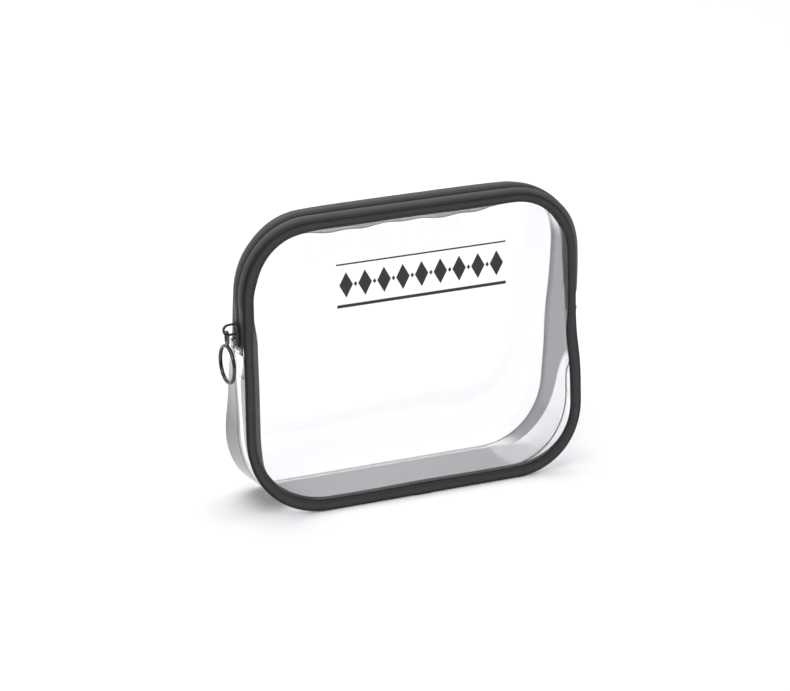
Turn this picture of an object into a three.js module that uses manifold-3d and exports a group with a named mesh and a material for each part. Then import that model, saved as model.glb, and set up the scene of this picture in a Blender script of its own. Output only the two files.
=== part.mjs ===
// Clear zip pouch with a bound front window, a zipper gusset over the top and a ring puller.
// Millimetres, +Z up, the bag's front faces -Y, its left end (seen from the front) is at -X.
// The origin is on the surface it stands on, at mid width and mid depth of its base.
import * as THREE from 'three';
import { mergeVertices } from 'three/addons/utils/BufferGeometryUtils.js';
import Module from 'manifold-3d';

const wasm = await Module();
wasm.setup();

// ---- driving dimensions ----
const FRONT = { halfLow: 105, halfHigh: 102.2, height: 169, cornerLow: 48, cornerHigh: 47 };
const BACK = { halfLow: 99.5, halfHigh: 99.5, height: 174, cornerLow: 44, cornerHigh: 46 };
const CORNER_HANDLE = 0.58;       // Bezier handle of a corner, as a part of its radius
const WIDEST_Z = 50;              // height where the sides start to draw in
const WAIST_Z = 98;               // height where they are straight again
const BASE_DEPTH = 49;            // front plane to back panel at the base
const TOP_DEPTH = 18.5;           // the same at the top
const FRONT_LEAN = THREE.MathUtils.degToRad(3);
const TOP_FRONT_Y = -BASE_DEPTH / 2 + FRONT.height * Math.sin(FRONT_LEAN);
const BACK_LEAN = Math.asin((BASE_DEPTH / 2 - TOP_FRONT_Y - TOP_DEPTH) / BACK.height);

const GAP = 0.3;                  // clearance between pieces that touch
const SHEET = 0.5;                // clear sheet
const TAPE = 0.8;                 // woven zipper tape
const BINDING_WIDTH = 6.5;
const BINDING_THICK = 2.7;
const BINDING_WALL = 0.5;
const SEAM_INSET = 1.2;           // how far the binding's edge stands outside the gusset
const LANE = 13.4;                // depth of the gusset's front lane, which holds the zipper
const LANE_HALF_LOW = 102;        // half width at the back of the lane, by the base
const LANE_HALF_HIGH = 103.4;     // the same by the zipper
const LANE_TOP = 173;             // height there
const ARCH_SIDE = 0.5;            // rise of the zipper above a straight lane, at the sides
const ARCH_TOP = 1.8;             // the same along the top
const FLAT_BASE_FROM = 0.3;       // part of the lane behind which the base is flat
const CURVE_SEGMENTS = 14;
const LANE_STEPS = 10;
const BACK_STEPS = 4;

const ZIP_END_Z = 98;             // lower ends of the zipper tapes, both sides
const FOLD_HEIGHT = 96.1;         // along the front plane: the line the open front folds on
const HALF_PARTING = 0.07;        // half the parting between the tapes, as a part of the lane
const COIL_WIDTH = 0.16;          // as a part of the lane
const COIL_THICK = 1.6;

const SLIDER_Z = 108.5;
const SLIDER = { length: 12.3, widthOpen: 9, widthClosed: 6.8, corner: 1.6, plate: 1.5, foot: 1 };
const FOOT_CLEARANCE = 1.3;       // coil to the slider's inner plate; the coils slope a little
const POST = { width: 1, length: 3.4 };
const BAIL = { length: 7.1, rise: 7.6, width: 2.2, wall: 1.2, corner: 2.2, innerCorner: 0.6 };
const BAR_CLEARANCE = 1.35;       // puller's turning axis to the inside of the bail
const RING = { outer: 11.4, inner: 9.2, thick: 2.2 };
const EYE = { width: 6, length: 9.6, wire: 1.3, thick: 1.4 };

// ---- helpers ----
const material = (color, roughness, metalness, opacity = 1) =>
  new THREE.MeshStandardMaterial({ color, roughness, metalness, opacity, transparent: opacity < 1 });
const clearSheet = material(0xdfe6ea, 0.08, 0, 0.3);
const blackSatin = material(0x1b1a1c, 0.5, 0);
const blackTape = material(0x242325, 0.75, 0);
const blackNylon = material(0x151516, 0.45, 0);
const gunmetal = material(0x3c3d42, 0.25, 1);

const lerp = THREE.MathUtils.lerp;
const clamp01 = (value) => THREE.MathUtils.clamp(value, 0, 1);

function solid(geometry) {
  const bare = geometry.clone();
  bare.deleteAttribute('normal');
  bare.deleteAttribute('uv');
  const merged = mergeVertices(bare, 1e-4);
  return new wasm.Manifold(new wasm.Mesh({
    numProp: 3,
    vertProperties: new Float32Array(merged.attributes.position.array),
    triVerts: new Uint32Array(merged.index.array),
  }));
}

function geometryOf(manifold) {
  const mesh = manifold.getMesh();
  const geometry = new THREE.BufferGeometry();
  geometry.setAttribute('position', new THREE.BufferAttribute(mesh.vertProperties, 3));
  geometry.setIndex(new THREE.BufferAttribute(mesh.triVerts, 1));
  geometry.computeVertexNormals();
  return geometry;
}

const join = (...geometries) => geometryOf(geometries.map(solid).reduce((a, b) => a.add(b)));
const cut = (geometry, tool) => geometryOf(solid(geometry).subtract(solid(tool)));

function slab(low, high, axis) {
  // A block that covers everything between two heights along one axis.
  const size = new THREE.Vector3(600, 600, 600);
  size[axis] = high - low;
  const box = new THREE.BoxGeometry(size.x, size.y, size.z);
  const shift = new THREE.Vector3();
  shift[axis] = (low + high) / 2;
  return box.translate(shift.x, shift.y, shift.z);
}

function named(name, geometry, look) {
  const mesh = new THREE.Mesh(geometry, look);
  mesh.name = name;
  return mesh;
}

// ---- outline of the front and back: a rounded rectangle whose sides draw in above the base ----
function outline(size, inset, path) {
  const low = size.halfLow - inset;
  const high = size.halfHigh - inset;
  const top = size.height - inset;
  const cornerLow = size.cornerLow - inset;
  const cornerHigh = size.cornerHigh - inset;
  const easeLow = cornerLow * (1 - CORNER_HANDLE);
  const easeHigh = cornerHigh * (1 - CORNER_HANDLE);
  const waist = (WAIST_Z - WIDEST_Z) / 2;
  path.moveTo(0, inset);
  path.lineTo(low - cornerLow, inset);
  path.bezierCurveTo(low - easeLow, inset, low, inset + easeLow, low, inset + cornerLow);
  path.lineTo(low, WIDEST_Z);
  path.bezierCurveTo(low, WIDEST_Z + waist, high, WAIST_Z - waist, high, WAIST_Z);
  path.lineTo(high, top - cornerHigh);
  path.bezierCurveTo(high, top - easeHigh, high - easeHigh, top, high - cornerHigh, top);
  path.lineTo(cornerHigh - high, top);
  path.bezierCurveTo(easeHigh - high, top, -high, top - easeHigh, -high, top - cornerHigh);
  path.lineTo(-high, WAIST_Z);
  path.bezierCurveTo(-high, WAIST_Z - waist, -low, WIDEST_Z + waist, -low, WIDEST_Z);
  path.lineTo(-low, inset + cornerLow);
  path.bezierCurveTo(-low, inset + easeLow, easeLow - low, inset, cornerLow - low, inset);
  path.closePath();
  return path;
}

function plate(size, inset, back, front) {
  // A flat sheet of the outline, from local depth back to local depth front.
  const shape = outline(size, inset, new THREE.Shape());
  const geometry = new THREE.ExtrudeGeometry(shape, {
    depth: front - back, bevelEnabled: false, curveSegments: CURVE_SEGMENTS,
  });
  return geometry.translate(0, 0, back);
}

function band(size, insetOuter, insetInner, back, front, steps = 1) {
  // A flat ring between two insets of the outline.
  const shape = outline(size, insetOuter, new THREE.Shape());
  shape.holes.push(outline(size, insetInner, new THREE.Path()));
  const geometry = new THREE.ExtrudeGeometry(shape, {
    depth: front - back, steps, bevelEnabled: false, curveSegments: CURVE_SEGMENTS,
  });
  return geometry.translate(0, 0, back);
}

// ---- the gusset surface: a front lane that holds the zipper, and a back strip that widens downwards ----
function gussetPoint(x, height, v) {
  // x and height are on the front plane; v is 0 at the front seam, 1 behind the lane, 2 at the back seam.
  const upper = THREE.MathUtils.smoothstep(height, WIDEST_Z, WAIST_Z);
  const lane = Math.min(v, 1);
  const strip = clamp01(v - 1);
  const span = FRONT.height - 2 * SEAM_INSET;
  const frontY = -BASE_DEPTH / 2 + height * Math.sin(FRONT_LEAN) + BINDING_THICK / 2 + GAP;
  const laneScale = lerp(LANE_HALF_LOW / (FRONT.halfLow - SEAM_INSET),
    LANE_HALF_HIGH / (FRONT.halfHigh - SEAM_INSET), upper);
  const backScale = BACK.halfLow / lerp(FRONT.halfLow - SEAM_INSET, FRONT.halfHigh - SEAM_INSET, upper);
  const arch = Math.sin(Math.PI * lane) * upper;
  const laneX = x * lerp(1, laneScale, lane) * (1 + arch * ARCH_SIDE / FRONT.halfHigh);
  const laneDrop = lerp(Math.min(1, lane / FLAT_BASE_FROM), lane, upper);
  const topRise = arch * ARCH_TOP * THREE.MathUtils.smoothstep(height / FRONT.height, 0.72, 1);
  const laneZ = lerp(height * Math.cos(FRONT_LEAN), (height - SEAM_INSET) * LANE_TOP / span, laneDrop);
  const backHeight = (height - SEAM_INSET) * BACK.height / span;
  return new THREE.Vector3(
    lerp(laneX, x * backScale, strip),
    lerp(frontY + lane * LANE, BASE_DEPTH / 2 - backHeight * Math.sin(BACK_LEAN) - GAP, strip),
    lerp(laneZ + topRise, backHeight * Math.cos(BACK_LEAN), strip),
  );
}

function gussetBand(skinDepth, thick, from, to, steps) {
  // A closed band on the gusset surface, skinDepth below it, between two stations of v.
  const outer = SEAM_INSET + skinDepth;
  const geometry = band(FRONT, outer, outer + thick, 0, 1, steps);
  const position = geometry.attributes.position;
  for (let i = 0; i < position.count; i += 1) {
    // The extrusion runs towards local +Z; counting v down keeps the faces pointing out.
    const v = lerp(to, from, position.getZ(i));
    const point = gussetPoint(position.getX(i), position.getY(i), v);
    position.setXYZ(i, point.x, point.y, point.z);
  }
  return geometry;
}

const above = (height) => slab(height, height + 600, 'z');
const below = (height) => slab(height - 600, height, 'z');

// ---- soft pieces ----
function frontGroup() {
  // Shape X and Y become width and height on the leaning front plane; local +Z faces forward.
  const group = new THREE.Group();
  group.rotation.x = Math.PI / 2 - FRONT_LEAN;
  group.position.set(0, -BASE_DEPTH / 2, BINDING_THICK / 2 * Math.sin(FRONT_LEAN));
  const groove = BINDING_THICK / 2 - BINDING_WALL;
  const channel = cut(
    band(FRONT, 0, BINDING_WIDTH, -BINDING_THICK / 2, BINDING_THICK / 2),
    band(FRONT, BINDING_WALL, BINDING_WIDTH + 2, -groove, groove),
  );
  const sheet = plate(FRONT, BINDING_WALL + GAP, groove - GAP - SHEET, groove - GAP);
  const upperPart = slab(FOLD_HEIGHT - GAP / 2, FOLD_HEIGHT + 600, 'y');
  const lowerPart = slab(FOLD_HEIGHT - 600, FOLD_HEIGHT + GAP / 2, 'y');
  group.add(named('front_binding_lower', cut(channel, upperPart), blackSatin));
  group.add(named('front_binding_upper', cut(channel, lowerPart), blackSatin));
  group.add(named('front_panel_lower', cut(sheet, upperPart), clearSheet));
  group.add(named('front_panel_upper', cut(sheet, lowerPart), clearSheet));
  return group;
}

function backPanel() {
  const group = new THREE.Group();
  group.rotation.x = Math.PI / 2 + BACK_LEAN;
  group.position.set(0, BASE_DEPTH / 2, 0);
  group.add(named('back_panel', plate(BACK, 0, -SHEET, 0), clearSheet));
  return group;
}

function gussetStrips() {
  const group = new THREE.Group();
  const seam = GAP / LANE;
  const lowerLane = cut(gussetBand(0, SHEET, 0, 1 - seam, LANE_STEPS), above(ZIP_END_Z - GAP));
  group.add(named('gusset_front_strip', lowerLane, clearSheet));
  group.add(named('gusset_back_strip', gussetBand(0, SHEET, 1, 2, BACK_STEPS), clearSheet));
  return group;
}

function zipperHalves() {
  const group = new THREE.Group();
  const frontEdge = 0.5 - HALF_PARTING;
  const backEdge = 0.5 + HALF_PARTING;
  const coilDepth = TAPE + GAP;
  const half = LANE_STEPS / 2;
  const addHalf = (side, from, to, coilFrom, coilTo) => {
    const tape = cut(gussetBand(0, TAPE, from, to, half), below(ZIP_END_Z));
    const coil = cut(gussetBand(coilDepth, COIL_THICK, coilFrom, coilTo, 1), below(ZIP_END_Z + 1));
    group.add(named(`zipper_tape_${side}`, tape, blackTape));
    group.add(named(`zipper_coil_${side}`, coil, blackNylon));
  };
  addHalf('front', 0, frontEdge, frontEdge - COIL_WIDTH, frontEdge);
  addHalf('back', backEdge, 1 - GAP / LANE, backEdge, backEdge + COIL_WIDTH);
  return group;
}

// ---- slider and puller, on the left run of the zipper ----
const sideX = FRONT.halfHigh - SEAM_INSET;
const zipCentre = gussetPoint(-sideX, SLIDER_Z, 0.5);
const zipShoulder = gussetPoint(-sideX, SLIDER_Z, 0.5 + SLIDER.widthOpen / 2 / LANE);
const plateInnerX = Math.min(zipCentre.x, zipShoulder.x) - GAP;
const plateOuterX = plateInnerX - SLIDER.plate;
const footOuterX = zipCentre.x + TAPE + GAP + COIL_THICK + FOOT_CLEARANCE;

function sideways(geometry, outerX, y, z) {
  // Turns a profile drawn in local X (depth) and Y (height) to lie in the YZ plane, its local +Z to +X.
  geometry.rotateX(Math.PI / 2);
  geometry.rotateZ(Math.PI / 2);
  return geometry.translate(outerX, y, z);
}

function sliderPlate(grow) {
  const half = SLIDER.length / 2 + grow;
  const open = SLIDER.widthOpen / 2 + grow;
  const closed = SLIDER.widthClosed / 2 + grow;
  const shape = new THREE.Shape();
  shape.moveTo(SLIDER.corner - open, -half);
  shape.lineTo(open - SLIDER.corner, -half);
  shape.quadraticCurveTo(open, -half, open, SLIDER.corner - half);
  shape.lineTo(open, 0);
  shape.lineTo(closed, half - SLIDER.corner);
  shape.quadraticCurveTo(closed, half, closed - SLIDER.corner, half);
  shape.lineTo(SLIDER.corner - closed, half);
  shape.quadraticCurveTo(-closed, half, -closed, half - SLIDER.corner);
  shape.lineTo(-open, 0);
  shape.lineTo(-open, SLIDER.corner - half);
  shape.quadraticCurveTo(-open, -half, SLIDER.corner - open, -half);
  return shape;
}

function extrudeFlat(shape, depth, segments = 6) {
  return new THREE.ExtrudeGeometry(shape, { depth, bevelEnabled: false, curveSegments: segments });
}

function roundedRectangle(path, halfWidth, low, high, corner) {
  path.moveTo(corner - halfWidth, low);
  path.lineTo(halfWidth - corner, low);
  path.absarc(halfWidth - corner, low + corner, corner, -Math.PI / 2, 0);
  path.lineTo(halfWidth, high - corner);
  path.absarc(halfWidth - corner, high - corner, corner, 0, Math.PI / 2);
  path.lineTo(corner - halfWidth, high);
  path.absarc(corner - halfWidth, high - corner, corner, Math.PI / 2, Math.PI);
  path.lineTo(-halfWidth, low + corner);
  path.absarc(corner - halfWidth, low + corner, corner, Math.PI, Math.PI * 1.5);
  path.closePath();
  return path;
}

function sliderBody() {
  const y = zipCentre.y;
  const outer = sideways(extrudeFlat(sliderPlate(0), SLIDER.plate), plateOuterX, y, SLIDER_Z);
  const foot = sideways(extrudeFlat(sliderPlate(-0.4), SLIDER.foot), footOuterX, y, SLIDER_Z);
  const postDepth = footOuterX - plateInnerX + 1;
  const post = new THREE.BoxGeometry(postDepth, POST.width, POST.length);
  const postDrop = SLIDER.length / 2 - 1 - POST.length / 2;
  post.translate(plateInnerX - 0.5 + postDepth / 2, y - postDrop * Math.tan(FRONT_LEAN), SLIDER_Z - postDrop);
  // The bail is a flat loop in the XZ plane, with its hole along Y.
  const bailShape = roundedRectangle(new THREE.Shape(), BAIL.rise, -BAIL.length / 2, BAIL.length / 2, BAIL.corner);
  bailShape.holes.push(roundedRectangle(new THREE.Path(), BAIL.rise - BAIL.wall,
    BAIL.wall - BAIL.length / 2, BAIL.length / 2 - BAIL.wall, BAIL.innerCorner));
  const bail = extrudeFlat(bailShape, BAIL.width).translate(0, 0, -BAIL.width / 2).rotateX(Math.PI / 2);
  const bailZ = SLIDER_Z + (SLIDER.length - BAIL.length) / 2;
  const bailLoop = cut(bail, slab(SLIDER.plate / -2, 300, 'x')).translate(plateOuterX + SLIDER.plate, y, bailZ);
  return named('slider_body', join(outer, foot, post, bailLoop), gunmetal);
}

function ringPuller() {
  const barHalf = EYE.wire / 2;
  const eye = roundedRectangle(new THREE.Shape(), EYE.width / 2, barHalf - EYE.length, barHalf, 1.6);
  eye.holes.push(roundedRectangle(new THREE.Path(), EYE.width / 2 - EYE.wire,
    barHalf + EYE.wire - EYE.length, -barHalf, 0.8));
  const ringCentre = barHalf - EYE.length + EYE.wire - RING.outer;
  const ring = new THREE.Shape();
  ring.absarc(0, ringCentre, RING.outer, 0, Math.PI * 2);
  const hole = new THREE.Path();
  hole.absarc(0, ringCentre, RING.inner, 0, Math.PI * 2);
  ring.holes.push(hole);
  const ringLift = (EYE.thick - RING.thick) / 2;
  const flatRing = extrudeFlat(ring, RING.thick, 40).translate(0, 0, ringLift);
  const flat = join(extrudeFlat(eye, EYE.thick, 4), flatRing);
  const pivotX = plateInnerX - BAIL.rise + BAIL.wall + BAR_CLEARANCE;
  const bailLow = SLIDER_Z + SLIDER.length / 2 - BAIL.length;
  const pivotZ = bailLow + BAIL.wall + BAR_CLEARANCE;
  const geometry = sideways(flat, pivotX - EYE.thick / 2, zipCentre.y, pivotZ);
  return named('ring_puller', geometry, gunmetal);
}

const bag = new THREE.Group();
bag.add(frontGroup());
bag.add(backPanel());
bag.add(gussetStrips());
bag.add(zipperHalves());
bag.add(sliderBody());
bag.add(ringPuller());

export default bag;
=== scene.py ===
"""Looks for a clear zip makeup bag: soft vinyl panels, a black bound front, a coil zipper and a ring puller.

Metres, +Z up. The front faces -Y and leans back; the zipper runs in a narrow lane behind the binding,
over the top and half way down both sides; a smoky strip widens downwards from that lane to the back panel.
"""

import math

import bmesh
import bpy
import numpy as np
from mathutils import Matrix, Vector


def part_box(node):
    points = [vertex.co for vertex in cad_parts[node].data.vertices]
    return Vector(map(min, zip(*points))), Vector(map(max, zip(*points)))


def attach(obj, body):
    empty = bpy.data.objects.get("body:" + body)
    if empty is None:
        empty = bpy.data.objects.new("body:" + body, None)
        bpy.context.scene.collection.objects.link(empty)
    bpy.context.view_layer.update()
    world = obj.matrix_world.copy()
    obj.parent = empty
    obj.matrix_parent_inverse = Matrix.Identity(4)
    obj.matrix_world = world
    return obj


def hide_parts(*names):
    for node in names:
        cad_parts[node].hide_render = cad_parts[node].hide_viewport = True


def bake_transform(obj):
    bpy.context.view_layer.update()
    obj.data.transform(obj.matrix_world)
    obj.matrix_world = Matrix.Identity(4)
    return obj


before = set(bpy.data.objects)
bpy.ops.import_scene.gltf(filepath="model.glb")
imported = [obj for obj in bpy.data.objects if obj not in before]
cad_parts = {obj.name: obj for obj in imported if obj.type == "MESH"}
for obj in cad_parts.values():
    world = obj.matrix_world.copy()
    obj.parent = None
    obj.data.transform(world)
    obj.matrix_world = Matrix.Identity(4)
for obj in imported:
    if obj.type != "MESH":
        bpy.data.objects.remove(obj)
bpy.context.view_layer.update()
MM = 0.001

# ---- sizes from the frame ----
LOW_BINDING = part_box("front_binding_lower")
HIGH_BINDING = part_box("front_binding_upper")
BACK_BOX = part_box("back_panel")
LANE_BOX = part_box("gusset_front_strip")
TAPE_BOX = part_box("zipper_tape_back")
SLIDER_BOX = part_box("slider_body")
PULLER_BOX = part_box("ring_puller")

FRONT_LEAN = math.radians(3)
BINDING_THICK = 2.7 * MM
BINDING_WIDTH = 6.5 * MM
SHEET = 0.5 * MM                  # the frame's sheets, which are plain solids
VINYL = 0.4 * MM                  # the real sheets
LINING = 0.3 * MM                 # the cut edges seen inside the seams
TAPE_THICK = 0.5 * MM
HALF_LOW = LOW_BINDING[1].x
HALF_HIGH = HIGH_BINDING[1].x
FRONT_HEIGHT = (HIGH_BINDING[1].z - BINDING_THICK * math.sin(FRONT_LEAN)) / math.cos(FRONT_LEAN)
FRONT_Y = LOW_BINDING[0].y + BINDING_THICK / 2 * math.cos(FRONT_LEAN)
BACK_Y = -FRONT_Y
BACK_LEAN = math.atan2(BACK_Y - BACK_BOX[0].y, BACK_BOX[1].z)
BACK_HEIGHT = BACK_BOX[1].z / math.cos(BACK_LEAN)
BACK_HALF = BACK_BOX[1].x
LANE_HALF_LOW = LANE_BOX[1].x
LANE_HALF_HIGH = TAPE_BOX[1].x
LANE_TOP = TAPE_BOX[1].z
ZIP_END = TAPE_BOX[0].z

# ---- outline of the front ----
# The soft bag sags a little towards its right end, so its two halves differ.
RIGHT_HALF = {
    "low": HALF_LOW + 0.4 * MM,
    "high": HALF_HIGH + 0.3 * MM,
    "corner_low": 41 * MM,
    "corner_high": 40 * MM,
}
LEFT_HALF = {
    "low": HALF_LOW - 2.4 * MM,
    "high": HALF_HIGH,
    "corner_low": 49 * MM,
    "corner_high": 42 * MM,
}
CORNER_HANDLE = 0.58              # a corner's Bezier handles, as a share of the corner
WIDEST_Z = 50 * MM                # the sides draw in from here
WAIST_Z = ZIP_END                 # to here
UPPER_CORNER_FROM = 140 * MM      # heights on the upper corners: where each starts, its middle and its end
UPPER_CORNER_MIDDLE = 150 * MM
UPPER_CORNER_TO = 160 * MM
CORNER_REACH = 34 * MM            # along the outline, from a corner's middle to where its fullness has faded
BEND_FROM = 90 * MM               # heights on the front where it would bend as the mouth opens; points there are worked out but nothing bends
BEND_TO = 130 * MM

# ---- zipper lane and back strip ----
SEAM_INSET = 1.2 * MM             # the binding's edge stands this far outside the gusset
LANE = 13.4 * MM                  # depth of the zipper lane
SEAM_GAP = 0.3 * MM               # from the binding to the lane
ARCH_SIDE = 0.5 * MM              # rise of the zipper above a straight lane, at the sides and along the top
ARCH_TOP = 0.9 * MM
FLAT_BASE_FROM = 0.3              # part of the lane behind which the base is flat
RIGHT_BULGE = 5.6 * MM            # the right run of the zipper stands proud of the binding
TUCK_TOP = 0.6 * MM               # the back of the lane is drawn in: along the top, and round its two corners
TUCK_LEFT = 2.7 * MM
TUCK_RIGHT = 2.7 * MM
RIGHT_END_DROP = 8 * MM           # the zipper's right end is sewn in lower than its left one
RIGHT_TAIL = 26 * MM              # the tapes' ends run on under the clear strip
LEFT_TAIL = 4 * MM
STRIP_FROM = 12.6 * MM            # depth at which the smoky strip starts
STRIP_LAP = 3.2 * MM              # the clear strip's ends lap this far over the tapes
SMOKY_LAP = 4.6 * MM              # below the zipper's right end it starts further forward
STITCH_PITCH = 2.75 * MM

# ---- back ----
BACK_LOW_EXTRA = 1.4 * MM         # fullness of the back's base, on each side
BACK_TOP_DROP = 2.0 * MM          # the back is this much lower than in the frame
BACK_SHIFT_LOW = 1.0 * MM         # sideways lean of the back, at its base and at its top
BACK_SHIFT_HIGH = 3.6 * MM
BACK_FULL_LEFT = 4.5 * MM         # fullness of its lower left corner, and that corner's height
BACK_FULL_LEFT_Z = 12 * MM


# ---- outline ----
def bezier(a, b, c, d, steps=80):
    t = np.linspace(0, 1, steps, endpoint=False)[:, None]
    a, b, c, d = (np.array(p, float) for p in (a, b, c, d))
    return a * (1 - t) ** 3 + 3 * b * t * (1 - t) ** 2 + 3 * c * t * t * (1 - t) + d * t**3


def line(a, b, steps=60):
    t = np.linspace(0, 1, steps, endpoint=False)[:, None]
    return np.array(a, float) * (1 - t) + np.array(b, float) * t


def half_outline(low, high, corner_low, corner_high):
    """Half of the front's outline as (x, height), from the middle of the base to the middle of the top."""
    ease_low = corner_low * (1 - CORNER_HANDLE)
    ease_high = corner_high * (1 - CORNER_HANDLE)
    widest = max(WIDEST_Z, corner_low)
    waist = (WAIST_Z - widest) / 2
    top = FRONT_HEIGHT
    return np.vstack((
        line((0, 0), (low - corner_low, 0)),
        bezier((low - corner_low, 0), (low - ease_low, 0), (low, ease_low), (low, corner_low)),
        line((low, corner_low), (low, widest), 4),
        bezier((low, widest), (low, widest + waist), (high, WAIST_Z - waist), (high, WAIST_Z)),
        line((high, WAIST_Z), (high, top - corner_high)),
        bezier((high, top - corner_high), (high, top - ease_high),
               (high - ease_high, top), (high - corner_high, top)),
        line((high - corner_high, top), (0, top)),
    ))


def make_rim():
    """The closed outline, anticlockwise from the base's middle: arc length, x, height and outward normal."""
    right = half_outline(**RIGHT_HALF)
    left = half_outline(**LEFT_HALF)[:0:-1] * (-1, 1)
    loop = np.vstack((right, [[0, FRONT_HEIGHT]], left, right[:1]))
    step = np.linalg.norm(np.diff(loop, axis=0), axis=1)
    length = np.concatenate(([0], np.cumsum(step)))
    even = np.linspace(0, length[-1], 2881)
    x = np.interp(even, length, loop[:, 0])
    height = np.interp(even, length, loop[:, 1])
    along_x = np.gradient(np.concatenate((x[-4:-1], x, x[1:4])))[3:-3]
    along_h = np.gradient(np.concatenate((height[-4:-1], height, height[1:4])))[3:-3]
    size = np.hypot(along_x, along_h)
    return even, x, height, along_h / size, -along_x / size


RIM = make_rim()
PERIMETER = RIM[0][-1]


def rim(s, inset):
    """(x, height) on the front plane at arc length s, moved inwards from the outline by inset."""
    s = np.mod(s, PERIMETER)
    x, height, nx, nh = (np.interp(s, RIM[0], column) for column in RIM[1:])
    return x - nx * inset, height - nh * inset


def arc_at_height(z, left=False):
    """Arc length at which the right or left side of the outline reaches the height z."""
    half = len(RIM[0]) // 2
    arcs, heights = (RIM[0][:half:-1], RIM[2][:half:-1]) if left else (RIM[0][:half], RIM[2][:half])
    return float(np.interp(z / math.cos(FRONT_LEAN), heights, arcs))


ZIP_START = arc_at_height(ZIP_END - RIGHT_END_DROP)
ZIP_STOP = arc_at_height(ZIP_END, left=True)
SLIDER_Z = (SLIDER_BOX[0].z + SLIDER_BOX[1].z) / 2
SLIDER_ARC = arc_at_height(SLIDER_Z, left=True)


def smoothstep(low, high, value):
    t = np.clip((value - low) / (high - low), 0, 1)
    return t * t * (3 - 2 * t)


# ---- the bag's three surfaces ----
def front_point(s, inset, out):
    """On the front: inset from the outline, out of the middle plane."""
    return front_plane(*rim(s, inset), out)


def front_plane(x, height, out):
    lift = BINDING_THICK / 2 * math.sin(FRONT_LEAN)
    y = FRONT_Y + height * math.sin(FRONT_LEAN) - out * math.cos(FRONT_LEAN)
    z = lift + height * math.cos(FRONT_LEAN) + out * math.sin(FRONT_LEAN)
    return np.stack(np.broadcast_arrays(x, y, z), -1)


def back_plane(x, height, out):
    y = BACK_Y - height * math.sin(BACK_LEAN) + out * math.cos(BACK_LEAN)
    z = height * math.cos(BACK_LEAN) + out * math.sin(BACK_LEAN)
    return np.stack(np.broadcast_arrays(x, y, z), -1)


def to_back(x, height):
    """Carries a place on the front to its place on the back, which sags to the right towards its top."""
    lean_from, lean_to = 60 * MM, 135 * MM
    upper = smoothstep(WIDEST_Z, WAIST_Z, height)
    front_half = (HALF_LOW - SEAM_INSET) * (1 - upper) + (HALF_HIGH - SEAM_INSET) * upper
    wide = (BACK_HALF + BACK_LOW_EXTRA * (1 - upper)) / front_half
    tall = (BACK_HEIGHT - BACK_TOP_DROP) / (FRONT_HEIGHT - 2 * SEAM_INSET)
    shift = BACK_SHIFT_LOW + (BACK_SHIFT_HIGH - BACK_SHIFT_LOW) * smoothstep(lean_from, lean_to, height)
    return x * wide + shift, (height - SEAM_INSET) * tall


def back_rim(s, inset):
    """The back's outline, inset: like the front's, but fuller at the lower left and flat at its base."""
    fuller = BACK_FULL_LEFT * swell_about(s, arc_at_height(BACK_FULL_LEFT_Z, left=True))
    x, height = rim(s, SEAM_INSET + inset + tuck(s) - fuller)
    return to_back(x, np.maximum(height, SEAM_INSET + inset))


def back_point(s, inset, out):
    return back_plane(*back_rim(s, inset), out)


def swell_about(s, middle):
    """1 at a corner's middle, fading to either side."""
    return np.exp(-(((s - middle) / CORNER_REACH) ** 2))


def bulge(s):
    """How far the right run of the zipper stands out, from below its sewn end to the top corner."""
    start = arc_at_height(55 * MM)
    full = arc_at_height(128 * MM)
    fading = full + 14 * MM
    end = arc_at_height(UPPER_CORNER_TO) + 40 * MM
    return RIGHT_BULGE * smoothstep(start, full, s) * (1 - smoothstep(fading, end, s))


def tuck(s):
    """How far the back of the zipper lane is drawn in: a little along the top, more round its corners."""
    from_right, to_right = arc_at_height(UPPER_CORNER_FROM), arc_at_height(UPPER_CORNER_TO)
    from_left, to_left = (arc_at_height(z, left=True) for z in (UPPER_CORNER_FROM, UPPER_CORNER_TO))
    top = smoothstep(from_right, to_right, s) * smoothstep(from_left, to_left, s)
    left = swell_about(s, arc_at_height(UPPER_CORNER_MIDDLE, left=True))
    right = swell_about(s, arc_at_height(UPPER_CORNER_MIDDLE))
    return TUCK_TOP * top + TUCK_LEFT * left + TUCK_RIGHT * right


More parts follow.
